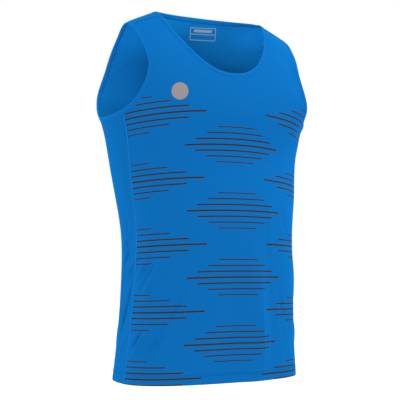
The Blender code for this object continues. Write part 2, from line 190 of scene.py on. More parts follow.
# rounded ridges: half width, half height and lift as a share of the cloth's thickness
SEAM_RIDGE = (0.0010, 0.0006, 0.4)
GROOVE = (0.0006, 0.0004, -0.7)
SHOULDER_RIDGE = (0.0011, 0.0005, 0.45)

# headings beyond which the neck binding's inner side shows, with its painted glow, and the groove under it
# shows, a dark strip of painted shade
NECK_BEHIND = 95.0
NECK_GROOVE_BEHIND = 98.0

# long stitches in front of a shoulder: first and last heading on the right side, and the path they are on
SHOULDER_TURNS = (-61.4, -53.3)
# heading_deg, height
SHOULDER_PATH = (
    (-63.2, -0.0340),
    (-59.8, -0.0270),
    (-55.5, -0.0190),
    (-52.8, -0.0120),
)

# cells of the coarse sheets
SEAM_ROWS = 24
ARM_FRONT_CELLS = 19
ARM_BACK_CELLS = 19
ARM_SIDE_CELLS = 8
STRAP_CELLS = 5
NECK_FRONT_CELLS = 24
NECK_BACK_CELLS = 18

# points of an armhole's loop and of the neck's, steps that relax a sheet, and how finely each cell is cut
ARM_POINTS = 720
NECK_POINTS = 1440
RELAX_STEPS = 300
FINE = 5

# where on its loop each side seam meets the armhole, about, as a share of the loop
FRONT_SEAM_SHARE = 0.45
BACK_SEAM_SHARE = 0.55

# stations along the thin pieces, points round them, and stations left out where they run under another piece
BAND_STATIONS = 360
BAND_RING = 24
HEM_STATIONS = 720
SEAM_STATIONS = 120
SEAM_ROW_STATIONS = 96
SEAM_ROW_ENDS_BEFORE = 4
SHOULDER_SEAM_STATIONS = 40
SHOULDER_ROW_STATIONS = 60
ARM_GROOVE_ENDS_BEFORE = 8
RIDGE_RING = 8
STITCH_RING = 5
STITCH_STATIONS = 5


# ---------------------------------------------------------------- the body form
def natural_spline(knots, values):
    """Cubic curve through a table column with no bend at either end."""
    knots = np.asarray(knots, float)
    values = np.asarray(values, float)
    n = len(knots)
    h = np.diff(knots)
    slope = np.diff(values) / h
    matrix = np.eye(n)
    right = np.zeros(n)
    for i in range(1, n - 1):
        matrix[i, i - 1:i + 2] = (h[i - 1], 2.0 * (h[i - 1] + h[i]), h[i])
        right[i] = 6.0 * (slope[i] - slope[i - 1])
    bend = np.linalg.solve(matrix, right)

    def curve(x):
        x = np.asarray(x, float)
        i = np.clip(np.searchsorted(knots, x) - 1, 0, n - 2)
        low = x - knots[i]
        high = knots[i + 1] - x
        step = h[i]
        cubic = (bend[i] * high ** 3 + bend[i + 1] * low ** 3) / (6.0 * step)
        lower = (values[i] / step - bend[i] * step / 6.0) * high
        upper = (values[i + 1] / step - bend[i + 1] * step / 6.0) * low
        return cubic + lower + upper

    return curve


COLUMNS = list(zip(*SECTIONS))
half_width, front_depth, back_depth, middle_y, squareness, front_seam, back_seam = (
    natural_spline(COLUMNS[0], column) for column in COLUMNS[1:])


def fold_rise(heading, height):
    """Sum of cosine-squared hills and troughs, each along its own leaning line."""
    total = np.zeros(np.broadcast(heading, height).shape)
    for middle_deg, middle_height, half_length, half_wide, lean_deg, rise in FOLDS + CREASES:
        turn = (heading - math.radians(middle_deg) + math.pi) % (2.0 * math.pi) - math.pi
        side = turn * FOLD_RADIUS
        up = height - middle_height
        lean = math.radians(lean_deg)
        along = side * math.sin(lean) + up * math.cos(lean)
        across = side * math.cos(lean) - up * math.sin(lean)
        p = np.clip(np.abs(along) / half_length, 0.0, 1.0)
        q = np.clip(np.abs(across) / half_wide, 0.0, 1.0)
        total = total + rise * np.cos(p * math.pi / 2.0) ** 2 * np.cos(q * math.pi / 2.0) ** 2
    return total


def form(heading, height):
    """Point of a level rounded-rectangle section: half width times sine, depth times cosine, folds outward.

    The reach is (|sin|^n + |cos|^n)^(-1/n) with the section's squareness n."""
    heading = np.asarray(heading, float)
    height = np.asarray(height, float) + 0.0 * heading
    s = np.sin(heading)
    c = np.cos(heading)
    n = squareness(height)
    reach = (np.abs(s) ** n + np.abs(c) ** n) ** (-1.0 / n)
    wide = half_width(height)
    deep = np.where(c > 0.0, front_depth(height), back_depth(height))
    radius = reach * np.hypot(wide * s, deep * c)
    reach = reach * (1.0 + fold_rise(heading, height) / radius)
    return np.stack([wide * reach * s, middle_y(height) - deep * reach * c, height], -1)


def heading_of(points):
    """Heading of points round the body, worked back from their share of the half width and the depth."""
    height = points[..., 2]
    dy = middle_y(height) - points[..., 1]
    deep = np.where(dy > 0.0, front_depth(height), back_depth(height))
    return np.arctan2(points[..., 0] / half_width(height), dy / deep)


def on_form(points):
    """Points moved level onto the form."""
    return form(heading_of(points), points[..., 2])


def unit(vectors):
    """Vectors of length one."""
    return vectors / np.linalg.norm(vectors, axis=-1, keepdims=True)


def normals_at(points):
    """Outward unit normals from the form's slopes across and upward."""
    step = 1e-4
    heading = heading_of(points)
    height = points[..., 2]
    across = form(heading + step, height) - form(heading - step, height)
    upward = form(heading, height + step) - form(heading, height - step)
    return unit(np.cross(across, upward))


def length_round(points, parts=24):
    """Length of cloth from the centre front to each point along its own level section."""
    heading = heading_of(points)
    height = points[..., 2]
    total = np.zeros(heading.shape)
    before = form(0.0 * heading, height)
    for i in range(1, parts + 1):
        after = form(heading * i / parts, height)
        total = total + np.linalg.norm(after - before, axis=-1)
        before = after
    return total * np.sign(heading)


def neck_edge(count):
    """Neckline loop from the right shoulder round the front and back, so many points to each.

    The front is a near-elliptical scoop in front view, the back a low rise along the form."""
    half = np.linspace(0.0, math.pi, count + 1)[:-1]
    c = -np.cos(half)
    s = np.sin(half)
    x = half_width(0.0) * np.sign(c) * np.abs(c) ** NECK_SIDE_POWER
    z = -NECK_FRONT_FALL * np.abs(s) ** NECK_FRONT_POWER
    n = squareness(z)
    level = (1.0 - np.minimum(np.abs(x) / half_width(z), 1.0) ** n) ** (1.0 / n)
    y = middle_y(z) - front_depth(z) * level
    front = on_form(np.stack([x, y, z], -1))
    heading = math.pi / 2.0 + half
    back = form(heading, NECK_BACK_RISE * np.abs(np.cos(heading)) ** NECK_BACK_POWER)
    return np.concatenate([front, back])


def arm_edge(count):
    """Left armhole loop: a rounded oval in side view, squarer above or below as named, laid on the form."""
    turn = np.linspace(0.0, 2.0 * math.pi, count + 1)[:-1]
    fall = (1.0 - np.cos(turn)) / 2.0
    is_front = turn < math.pi
    top_square = np.where(is_front, ARM_FRONT_SQUARE[0], ARM_BACK_SQUARE[0])
    low_square = np.where(is_front, ARM_FRONT_SQUARE[1], ARM_BACK_SQUARE[1])
    square = top_square * (1.0 - fall) + low_square * fall
    front_reach = ARM_FRONT_REACH * (1.0 + ARM_FRONT_SKEW * np.cos(turn))
    reach = np.where(is_front, -front_reach, ARM_BACK_REACH)
    z = ARM_TOP + (ARM_BOTTOM - ARM_TOP) * fall
    centre = middle_y(ARM_TOP) * (1.0 - fall) + ARM_BOTTOM_SHIFT * fall
    y = centre + reach * np.abs(np.sin(turn)) ** (2.0 / square)
    dy = middle_y(z) - y
    deep = np.where(dy > 0.0, front_depth(z), back_depth(z))
    n = squareness(z)
    x = half_width(z) * (1.0 - np.minimum(np.abs(dy) / deep, 1.0) ** n) ** (1.0 / n)
    return on_form(np.stack([x, y, z], -1))


def closed_tangents(loop):
    """Directions along a closed loop, from each point's two neighbours."""
    return unit(np.roll(loop, -1, axis=0) - np.roll(loop, 1, axis=0))


def march(loop, width, steps=6):
    """Closed loop moved over the form by a width, away from the hole it rounds."""
    middle = loop.mean(axis=0)
    moved = loop.copy()
    for _ in range(steps):
        out = np.cross(closed_tangents(moved), normals_at(moved))
        sign = np.sign(((loop - middle) * out).sum(axis=-1).sum())
        moved = on_form(moved + sign * out * (width / steps))
    return moved


def crossings(value):
    """Places along a closed row of values where they pass zero, between points by proportion."""
    following = np.roll(value, -1)
    places = np.nonzero((value < 0.0) != (following < 0.0))[0]
    return places + value[places] / (value[places] - following[places])


def loop_at(loop, places):
    """Points of a closed loop at places that may lie between its points."""
    n = len(loop)
    low = np.floor(places).astype(int)
    part = (places - low)[:, None]
    return loop[low % n] * (1.0 - part) + loop[(low + 1) % n] * part


def even_places(loop, start, end, count):
    """Places from start to end that cut the loop's length into equal parts."""
    fine = np.linspace(start, end, 400)
    points = loop_at(loop, fine)
    length = np.concatenate([[0.0], np.cumsum(np.linalg.norm(np.diff(points, axis=0), axis=-1))])
    return np.interp(np.linspace(0.0, length[-1], count + 1), length, fine)


def nearest_place(places, target, total):
    """The place nearest to a target on a loop of so many points, on the target's own lap."""
    gap = (places - target + total / 2.0) % total - total / 2.0
    return target + gap[int(np.argmin(np.abs(gap)))]


def grid_between(bottom, top, left, right):
    """Sheet of points between four edges, ruled between them and then relaxed on the form.

    Each step moves a point to the mean of its neighbours, weighted so that no cell ends up crossed."""
    u = np.linspace(0.0, 1.0, len(bottom))[None, :, None]
    v = np.linspace(0.0, 1.0, len(left))[:, None, None]
    ruled = (1.0 - v) * bottom[None] + v * top[None] + (1.0 - u) * left[:, None] + u * right[:, None]
    corners = (1.0 - v) * ((1.0 - u) * bottom[0] + u * bottom[-1]) + v * ((1.0 - u) * top[0] + u * top[-1])
    grid = ruled - corners
    grid[1:-1, 1:-1] = on_form(grid[1:-1, 1:-1])
    for _ in range(RELAX_STEPS):
        east = grid[1:-1, 2:]
        west = grid[1:-1, :-2]
        north = grid[2:, 1:-1]
        south = grid[:-2, 1:-1]
        diagonal = (grid[2:, 2:] - grid[2:, :-2] - grid[:-2, 2:] + grid[:-2, :-2]) / 4.0
        across = (east - west) / 2.0
        upward = (north - south) / 2.0
        uu = (across * across).sum(axis=-1, keepdims=True)
        vv = (upward * upward).sum(axis=-1, keepdims=True)
        uv = (across * upward).sum(axis=-1, keepdims=True)
        mean = (vv * (east + west) + uu * (north + south) - 2.0 * uv * diagonal) / (2.0 * (uu + vv))
        grid[1:-1, 1:-1] = on_form(mean)
    return grid


def finer(grid, times):
    """Each cell cut into times by times cells, laid back on the form."""
    rows = np.linspace(0, grid.shape[0] - 1, (grid.shape[0] - 1) * times + 1)
    columns = np.linspace(0, grid.shape[1] - 1, (grid.shape[1] - 1) * times + 1)
    i = np.minimum(rows.astype(int), grid.shape[0] - 2)
    j = np.minimum(columns.astype(int), grid.shape[1] - 2)
    p = (rows - i)[:, None, None]
    q = (columns - j)[None, :, None]
    low = grid[i][:, j] * (1.0 - q) + grid[i][:, j + 1] * q
    high = grid[i + 1][:, j] * (1.0 - q) + grid[i + 1][:, j + 1] * q
    return on_form(low * (1.0 - p) + high * p)


def mirrored(points):
    """Points of one half carried over to the other half of the form."""
    return on_form(points * np.array([-1.0, 1.0, 1.0]))


# ---------------------------------------------------------------- meshes
def add_piece(name, points, faces, materials):
    """Smooth mesh object at the origin, on the garment's one body and in one of its material slots."""
    mesh = bpy.data.meshes.new(name)
    mesh.from_pydata(np.asarray(points).reshape(-1, 3).tolist(), [], faces)
    for material in materials:
        mesh.materials.append(material)
    mesh.polygons.foreach_set("use_smooth", np.ones(len(mesh.polygons), dtype=bool))
    mesh.update()
    item = bpy.data.objects.new(name, mesh)
    bpy.context.scene.collection.objects.link(item)
    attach(item, "root")
    return item


def lay_pattern(item, uvs, face_materials):
    """Gives each point of a piece its place in the pattern map, in metres, and each face its material."""
    mesh = item.data
    layer = mesh.uv_layers.new(name="cut")
    corner = np.empty(len(mesh.loops), dtype=np.int32)
    mesh.loops.foreach_get("vertex_index", corner)
    layer.data.foreach_set("uv", np.asarray(uvs).reshape(-1, 2)[corner].astype(np.float32).ravel())
    mesh.polygons.foreach_set("material_index", np.asarray(face_materials, dtype=np.int32))
    mesh.update()


def facing_out(points, faces, tested, outward):
    """The faces as lists, all turned over if the tested one looks against the outward direction."""
    a, b, c = (points[k] for k in tested[:3])
    turned_in = np.dot(np.cross(b - a, c - a), outward) < 0.0
    return [face[::-1] if turned_in else face for face in faces]


def grid_faces(rows, columns, shift=0, closed=False):
    """Quads of a grid of points, in reading order."""
    i = np.arange(rows - 1)[:, None]
    j = np.arange(columns if closed else columns - 1)[None, :]
    k = (j + 1) % columns
    a = i * columns + j
    b = i * columns + k
    c = (i + 1) * columns + k
    d = (i + 1) * columns + j
    return np.stack([a, b, c, d], -1).reshape(-1, 4) + shift


def edge_inset(grid):
    """Side edges drawn in by half the seam gap, so that neighbours never share a line."""
    moved = grid.copy()
    for edge, inner in ((np.s_[:, 0], np.s_[:, 1]), (np.s_[:, -1], np.s_[:, -2])):
        moved[edge] = grid[edge] + SEAM_HALF_GAP * unit(grid[inner] - grid[edge])
    return moved


def rim_faces(rows, columns):
    """Quads that join the edges of two equal grids of points, the second following the first."""
    ring = np.concatenate([
        np.arange(columns),
        np.arange(1, rows) * columns + columns - 1,
        (rows - 1) * columns + np.arange(columns - 2, -1, -1),
        np.arange(rows - 2, 0, -1) * columns,
    ])
    following = np.roll(ring, -1)
    shift = rows * columns
    return np.stack([following, ring, ring + shift, following + shift], -1)


def pattern_map(grid, from_back, sagging):
    """(length round the body, height) of each point, the length from the centre front or the centre back.

    A sagging map is lifted by the square of its share of the reach, so that its lines hang at the sides."""
    height = grid[..., 2]
    around = length_round(grid)
    if from_back:
        half_girth = length_round(form(math.pi - 1e-6, height))
        around = np.where(around < 0.0, around + half_girth, around - half_girth)
    lift = np.interp(height, SAG_HEIGHTS, SAG_DROPS) * (around / SAG_REACH) ** 2 if sagging else 0.0
    return np.stack([around, height + lift], -1)


def cloth_sheet(name, grid, materials, from_back=False, sagging=False):
    """Thin closed shell: outer and inner sheets half the cloth's thickness from the form, and a rim.

    The hem's turning thickens the lowest rows, more of it inwards, and their last edge is rounded."""
    grid = edge_inset(grid)
    normal = normals_at(grid)
    rows, columns = grid.shape[:2]
    up = grid[..., 2] + BODY_LENGTH
    turned = np.clip((HEM_DEPTH + HEM_EASE / 2.0 - up) / HEM_EASE, 0.0, 1.0)
    turned = turned * turned * (3.0 - 2.0 * turned)
    edge_round = 1.0 - HEM_ROUNDED_SHARE * np.clip(1.0 - up / HEM_ROUNDING, 0.0, 1.0) ** 2
    half = (CLOTH / 2.0 + HEM_EXTRA / 2.0 * turned) * edge_round
    outer = (grid + normal * half[..., None]).reshape(-1, 3)
    inner = (grid - normal * (half + HEM_EXTRA / 2.0 * turned)[..., None]).reshape(-1, 3)
    outside = grid_faces(rows, columns)
    inside = grid_faces(rows, columns, rows * columns)[:, ::-1]
    rim = rim_faces(rows, columns)
    faces = np.concatenate([outside, inside, rim]).tolist()
    faces = facing_out(outer, faces, outside[0], normal.reshape(-1, 3)[outside[0, 0]])
    item = add_piece(name, np.concatenate([outer, inner]), faces, materials)
    uv = pattern_map(grid, from_back, sagging).reshape(-1, 2)
    sides = np.concatenate([np.zeros(len(outside)), np.ones(len(inside)), np.zeros(len(rim))])
    lay_pattern(item, np.concatenate([uv, uv]), sides)
    return item


def band_piece(name, edge, line, width, behind, materials):
    """Folded binding: a flat rounded-end oval ring, wide across the band and thin through it, carried round.

    Its outer half has the first material, its inner half the second where behind holds and else the third."""
    turn = np.linspace(0.0, 2.0 * math.pi, BAND_RING, endpoint=False)
    across = 0.5 - 0.5 * np.sign(np.cos(turn)) * np.abs(np.cos(turn)) ** BAND_ACROSS_POWER
    through = np.sign(np.sin(turn)) * np.abs(np.sin(turn)) ** BAND_THROUGH_POWER
    part = across[None, :, None]
    base = on_form(edge[:, None] * (1.0 - part) + line[:, None] * part)
    crown = 1.0 - BAND_CROWN + BAND_CROWN * np.sin(math.pi * across)
    rise = through * crown * BAND_THICK / 2.0
    points = (base + normals_at(base) * rise[None, :, None]).reshape(-1, 3)
    stations = len(edge)
    i = np.arange(stations)[:, None]
    j = np.arange(BAND_RING)[None, :]
    ni = (i + 1) % stations
    nj = (j + 1) % BAND_RING
    faces = np.stack([i * BAND_RING + j, i * BAND_RING + nj, ni * BAND_RING + nj, ni * BAND_RING + j], -1)
    faces = faces.reshape(-1, 4).tolist()
    crest = BAND_RING // 4
    faces = facing_out(points, faces, faces[crest], normals_at(base[0, crest][None])[0])
    item = add_piece(name, points, faces, materials)
    length = np.concatenate([[0.0], np.cumsum(np.linalg.norm(np.diff(edge, axis=0), axis=-1))])
    uv = np.stack(np.broadcast_arrays(length[:, None], across[None, :] * width), -1)
    lay_pattern(item, uv, np.where(turn[None, :] < math.pi, 0, np.where(behind[:, None], 1, 2)).ravel())
    return item


def stitch_shape():
    """One thread bump: a long oval with blunt ends, as unit points (along, across, up) and its faces."""
    stations = np.linspace(STITCH_END, math.pi - STITCH_END, STITCH_STATIONS)
    turn = np.linspace(0.0, 2.0 * math.pi, STITCH_RING, endpoint=False)
    along = -np.cos(stations)[:, None] + 0.0 * turn
    size = np.sin(stations)[:, None] ** STITCH_FULLNESS_POWER
    points = np.stack([along, size * np.cos(turn), size * np.sin(turn)], -1).reshape(-1, 3)
    sides = grid_faces(STITCH_STATIONS, STITCH_RING, closed=True)
    start = np.arange(STITCH_RING)[::-1]
    end = (STITCH_STATIONS - 1) * STITCH_RING + np.arange(STITCH_RING)
    return points, sides, start, end


def stitch_rows(name, paths, stitch, radius, lift, material):
    """Rows of thread bumps along paths on the form, a pitch apart, standing half out of the cloth."""
    pitch, length = stitch
    shape, sides, start, end = stitch_shape()
    centres, ways, ups = [], [], []
    for path in paths:
        steps = np.linalg.norm(np.diff(path, axis=0), axis=-1)
        run = np.concatenate([[0.0], np.cumsum(steps)])
        count = max(int(run[-1] / pitch), 2)
        at = (np.arange(count) + 0.5) * run[-1] / count
        here = np.stack([np.interp(at, run, path[:, k]) for k in range(3)], -1)
        ahead = np.stack([np.interp(at + 0.001, run, path[:, k]) for k in range(3)], -1)
        behind = np.stack([np.interp(at - 0.001, run, path[:, k]) for k in range(3)], -1)
        up = normals_at(here)
        centres.append(here + up * lift)
        ways.append(unit(ahead - behind))
        ups.append(up)
    centre = np.concatenate(centres)
    way = np.concatenate(ways)
    up = np.concatenate(ups)
    side = np.cross(up, way)
    points = (centre[:, None] + way[:, None] * shape[None, :, :1] * length / 2.0
              + side[:, None] * shape[None, :, 1:2] * radius + up[:, None] * shape[None, :, 2:] * radius)
    shift = np.arange(len(centre))[:, None, None] * len(shape)
    body = (sides[None] + shift).reshape(-1, 4)
    caps = np.concatenate([start[None] + shift[:, 0], end[None] + shift[:, 0]])
    return add_piece(name, points, body.tolist() + caps.tolist(), (material,))


def ridges(name, paths, size, material):
    """Low rounded ridges along paths on the form: an ellipse, wide across and thin through, carried along."""
    across, through, lift = size
    turn = np.linspace(0.0, 2.0 * math.pi, RIDGE_RING, endpoint=False)
    points, faces, shift = [], [], 0
    for path in paths:
        up = normals_at(path)
        side = unit(np.cross(up, unit(np.gradient(path, axis=0))))
        middle = path + up * CLOTH * lift
        ring = (middle[:, None] + side[:, None] * np.cos(turn)[None, :, None] * across
                + up[:, None] * np.sin(turn)[None, :, None] * through)
        end = shift + (len(path) - 1) * RIDGE_RING
        faces += grid_faces(len(path), RIDGE_RING, shift, closed=True)[:, ::-1].tolist()
        faces.append([shift + k for k in range(RIDGE_RING)])
        faces.append([end + k for k in range(RIDGE_RING)][::-1])
        points.append(ring.reshape(-1, 3))
        shift += len(path) * RIDGE_RING
    points = np.concatenate(points)
    faces = facing_out(points, faces, faces[RIDGE_RING // 4], normals_at(paths[0][:1])[0])
    return add_piece(name, points, faces, (material,))


# ---------------------------------------------------------------- shader arithmetic
SHEEN = 0.22
SHEEN_ROUGHNESS = 0.35
SHEEN_TINT = (0.006, 0.30, 0.85, 1.0)
INSIDE_SHEEN = SHEEN * 0.3
# painted light: a faint glow of the cloth's wrong side, and a stronger one of a binding's inner side where it
# shows
INSIDE_PAINTED_GLOW = 0.05
BAND_INSIDE_PAINTED_GLOW = 0.50
JERSEY_ROUGHNESS = 0.78
MESH_ROUGHNESS = 0.80
INSIDE_ROUGHNESS = 0.85
BAND_ROUGHNESS = 0.80
THREAD_ROUGHNESS = 0.60

BLUE = (0.0028, 0.0970, 0.308, 1.0)
BLUE_SIDE = (0.0028, 0.0965, 0.306, 1.0)
# the wrong side's blue, made paler than the right side's as painted light on the inside
INSIDE_BLUE_AND_PAINTED_LIGHT = (0.0055, 0.190, 0.515, 1.0)
PRINT_DARK = (0.031, 0.020, 0.004, 1.0)
MARK_GREY = (0.205, 0.191, 0.185, 1.0)
LABEL_GREY = (0.300, 0.360, 0.360, 1.0)

# darkest and palest tone of each cloth, as shares of its blue, the painted highlight along a binding's folded
# edge and a mesh's hole
CLOUDS = (0.985, 1.015)
MESH_CLOUDS = (0.985, 1.020)
RIB_TONES = (0.91, 1.03)
BAND_TONES = (0.99, 1.05)
EDGE_HIGHLIGHT_TONE = 1.22
HOLE_TONE = 0.45

# how fine the clouds, the jersey's grain and a thread's twist are, in turns a metre and layers of detail
CLOUD_GRAIN = (9.0, 3.0)
JERSEY_GRAIN = (55.0, 3.0)
TWIST_GRAIN = (900.0, 1.0)

# printed groups of fine lines: height of the first, step to the next, step between lines, lines above and
# below a group's middle one, half width of a line, how soft its edge is, how much thinner and shorter each
# next one is, where the side groups are centred, and half the length of the middle line in a side group and
# in a middle group
GROUPS_TOP = -0.197
GROUP_STEP = 0.1225
LINE_STEP = 0.0108
LINES_EACH_SIDE = 3
LINE_HALF = 0.00155
LINE_SOFT = 0.0002
LINE_THINNING = 0.00020
LINE_SHORTENING = 0.20
SIDE_GROUP_PLACE = 0.236
SIDE_GROUP_REACH = 0.170
MIDDLE_GROUP_REACH = 0.100

# plain disc on the chest
MARK_PLACE = (-0.115, -0.159)
MARK_RADIUS = 0.0160
MARK_SOFT = 0.0003

# plain box printed inside the nape: middle, half sizes, corner, lean, how far a line is full and faded from
# its middle, how far the outline lies within the edge and the dividing line under the middle, the bar above
# that, how each fill fades out at its edge, and how much of the ink shows
LABEL_MIDDLE = (-0.0278, -0.0152)
LABEL_HALF = (0.0290, 0.0120)
LABEL_CORNER = 0.002
LABEL_LEAN = (0.22, 0.05)
LABEL_LINE = (0.0004, 0.0009)
OUTLINE_INSET = 0.0006
DIVIDER_DROP = 0.0005
BAR_RISE = 0.0058
BAR_HALF = (0.0200, 0.0024)
BAR_CORNER = 0.001
BOX_FADE = (-0.0004, 0.0)
BAR_FADE = (-0.0002, 0.0004)
INK_SHARE = 0.80

# strength and depth of each knit's relief
JERSEY_RELIEF = (0.16, 0.0004)
MESH_RELIEF = (0.35, 0.0005)
RIB_RELIEF = (0.25, 0.0004)
BAND_RELIEF = (0.2, 0.0003)

# pitches of the knits, and what each part of the jersey adds to its relief
KNIT_WALE = 0.0011
KNIT_COURSE = 0.0009
MESH_STEP = 0.0024
RIB_STEP = 0.0034
BAND_RIB_STEP = 0.0016
WALE_SHARE = 0.35
COURSE_SHARE = 0.20
GRAIN_SHARE = 0.80

# inner and outer radius of a mesh's hole as shares of the pitch, and how much of its tone shows
HOLE_EDGE = (0.10, 0.24)
HOLE_SHARE = 0.30

# where the painted highlight along a binding's folded edge fades, across the strip, and how much of it shows
EDGE_HIGHLIGHT_FADE = (0.0008, 0.0026)
EDGE_HIGHLIGHT_SHARE = 0.80

# painted shade and painted light on the back's wrong side, as shares of its blue, by the height and by the
# length from the centre back to the right. Under the nape: a curve of the height (level part, slope, bend)
# times a tilt to the right (level part, slope, least, most), with paler steps left and right of the nape that
# only count high up
NAPE_CURVE = (1.02, 0.6, -72.0)
NAPE_TILT = (0.77, -2.4, 0.67, 1.14)
NAPE_SHADE_DARKEST = 0.46
NAPE_HIGH = (-0.045, -0.005)
# from, to, rise
NAPE_LEFT_STEP = (0.07, 0.15, 0.45)
NAPE_RIGHT_STEP = (-0.01, 0.03, 0.16)

# by the armhole, painted shade and painted light: a level part, two steps with the height, and a share that
# falls to the right
ARM_TONE = 0.68
ARM_SHARE = 1.11
# from, to, rise
ARM_LOW_STEP = (-0.190, -0.145, 0.20)
ARM_HIGH_STEP = (-0.090, -0.025, 0.38)
ARM_RIGHT_STEP = (0.11, 0.17, -0.10)

# where the one map blends into the other, to the right, and the brightest tone of all, painted light
NAPE_TO_ARM = (0.010, 0.135)
TOP_PAINTED_LIGHT = 1.5


class Value:
    """A shader socket that adds, multiplies and compares like a number."""

    def __init__(self, cloth, socket):
        self.cloth = cloth
        self.socket = socket

    def math(self, operation, *others):
        return self.cloth.node("ShaderNodeMath", {"operation": operation}, (self,) + others)

    def __add__(self, other):
        return self.math("ADD", other)

    __radd__ = __add__

    def __sub__(self, other):
        return self.math("SUBTRACT", other)

    def __rsub__(self, other):
        return self.cloth.node("ShaderNodeMath", {"operation": "SUBTRACT"}, (other, self))

    def __mul__(self, other):
        return self.math("MULTIPLY", other)

    __rmul__ = __mul__

    def __truediv__(self, other):
        return self.math("DIVIDE", other)

    def __pow__(self, other):
        return self.math("POWER", other)

    def __abs__(self):
        return self.math("ABSOLUTE")

    def floor(self):
        return self.math("FLOOR")

    def sin(self):
        return self.math("SINE")

    def least(self, other):
        return self.math("MINIMUM", other)

    def most(self, other):
        return self.math("MAXIMUM", other)

    def soft_step(self, low, high):
        """0 below low, 1 above high, smooth between."""
        settings = {"interpolation_type": "SMOOTHSTEP", "clamp": True}
        inputs = {"Value": self, "From Min": low, "From Max": high}
        return self.cloth.node("ShaderNodeMapRange", settings, inputs)

    def rising_step(self, low, high, rise):
        """0 below low, the rise above high, smooth between."""
        return self.soft_step(low, high) * rise


class ClothMaterial:
    """A Principled material and the one method that adds its nodes."""

    def __init__(self, name, roughness, sheen=SHEEN, painted_glow=0.0):
        self.material = bpy.data.materials.new(name)
        self.material.use_nodes = True
        self.tree = self.material.node_tree
        self.shader = self.tree.nodes["Principled BSDF"]
        self.shader.inputs["Roughness"].default_value = roughness
        self.shader.inputs["Specular IOR Level"].default_value = 0.0
        self.shader.inputs["Sheen Weight"].default_value = sheen
        self.shader.inputs["Sheen Roughness"].default_value = SHEEN_ROUGHNESS
        self.shader.inputs["Sheen Tint"].default_value = SHEEN_TINT
        # painted light: the cloth glows by this strength though it is no lamp
        self.shader.inputs["Emission Strength"].default_value = painted_glow

    def node(self, kind, settings, inputs, output=0):
        """Adds a node: its settings first, then its sockets by place or name."""
        node = self.tree.nodes.new(kind)
        for key, value in settings.items():
            setattr(node, key, value)
        pairs = inputs.items() if isinstance(inputs, dict) else enumerate(inputs)
        for key, value in pairs:
            if isinstance(value, Value):
                self.tree.links.new(value.socket, node.inputs[key])
            else:
                node.inputs[key].default_value = value
        return Value(self, node.outputs[output])

    def cut_map(self):
        """(length round, height) of the pattern map, in metres."""
        uv = self.node("ShaderNodeUVMap", {"uv_map": "cut"}, ())
        split = {"Vector": uv}
        around = self.node("ShaderNodeSeparateXYZ", {}, split, 0)
        height = self.node("ShaderNodeSeparateXYZ", {}, split, 1)
        return around, height

    def noise(self, scale, detail):
        """Even noise over the piece's own coordinates, in metres."""
        place = self.node("ShaderNodeTexCoord", {}, (), "Object")
        return self.node("ShaderNodeTexNoise", {}, {"Vector": place, "Scale": scale, "Detail": detail})

    def uneven(self, blue, darkest, palest):
        """A blue with a faint cloudy unevenness."""
        return self.mix(self.noise(*CLOUD_GRAIN), tone(blue, darkest), tone(blue, palest))

    def mix(self, factor, first, second):
        """Colour that goes from the first to the second with the factor."""
        node = self.tree.nodes.new("ShaderNodeMix")
        node.data_type = "RGBA"
        for place, value in ((0, factor), (6, first), (7, second)):
            if isinstance(value, Value):
                self.tree.links.new(value.socket, node.inputs[place])
            else:
                node.inputs[place].default_value = value
        return Value(self, node.outputs[2])

    def colour(self, value):
        self.tree.links.new(value.socket, self.shader.inputs["Base Color"])
        # the colour also feeds the glow, painted light, wherever a glow strength is given
        self.tree.links.new(value.socket, self.shader.inputs["Emission Color"])

    def bump(self, height, strength, distance):
        bump = self.node("ShaderNodeBump", {}, {"Strength": strength, "Distance": distance, "Height": height})
        self.tree.links.new(bump.socket, self.shader.inputs["Normal"])


def tone(colour, factor):
    """The colour times the factor."""
    return tuple(c * factor for c in colour[:3]) + (1.0,)


def line_mask(around, height, top, middle, reach):
    """1 on a printed line: groups of level lines with round ends, the middle one longest.

    Each line is a capsule about its own middle; groups repeat down the body."""
    level = (top - height) / GROUP_STEP
    group = (level + 0.5).floor()
    local = (level - group) * GROUP_STEP
    row = (local / LINE_STEP + 0.5).floor()
    off_line = abs(local - row * LINE_STEP)
    rank = abs(row)
    past_end = (abs(abs(around) - middle) - reach * (1.0 - rank * LINE_SHORTENING)).most(0.0)
    distance = (off_line ** 2.0 + past_end ** 2.0) ** 0.5
    edge = distance + rank * LINE_THINNING
    inside = 1.0 - edge.soft_step(LINE_HALF - LINE_SOFT, LINE_HALF + LINE_SOFT)
    shown = 1.0 - rank.soft_step(LINES_EACH_SIDE + 0.4, LINES_EACH_SIDE + 0.6)
    started = group.soft_step(-0.6, -0.4)
    return inside * shown * started


def knit_bump(cloth, around, height):
    """Fine jersey: wales and courses about a millimetre apart under a soft unevenness."""
    wale = (around * (2.0 * math.pi / KNIT_WALE)).sin()
    course = (height * (2.0 * math.pi / KNIT_COURSE)).sin()
    return wale * WALE_SHARE + course * COURSE_SHARE + cloth.noise(*JERSEY_GRAIN) * GRAIN_SHARE


def box_distance(around, height, middle, half, corner):
    """Distance outside a rounded box in the pattern map, negative inside."""
    x = abs(around - middle[0]) - (half[0] - corner)
    y = abs(height - middle[1]) - (half[1] - corner)
    outside = (x.most(0.0) ** 2.0 + y.most(0.0) ** 2.0) ** 0.5
    return outside + x.most(y).least(0.0) - corner


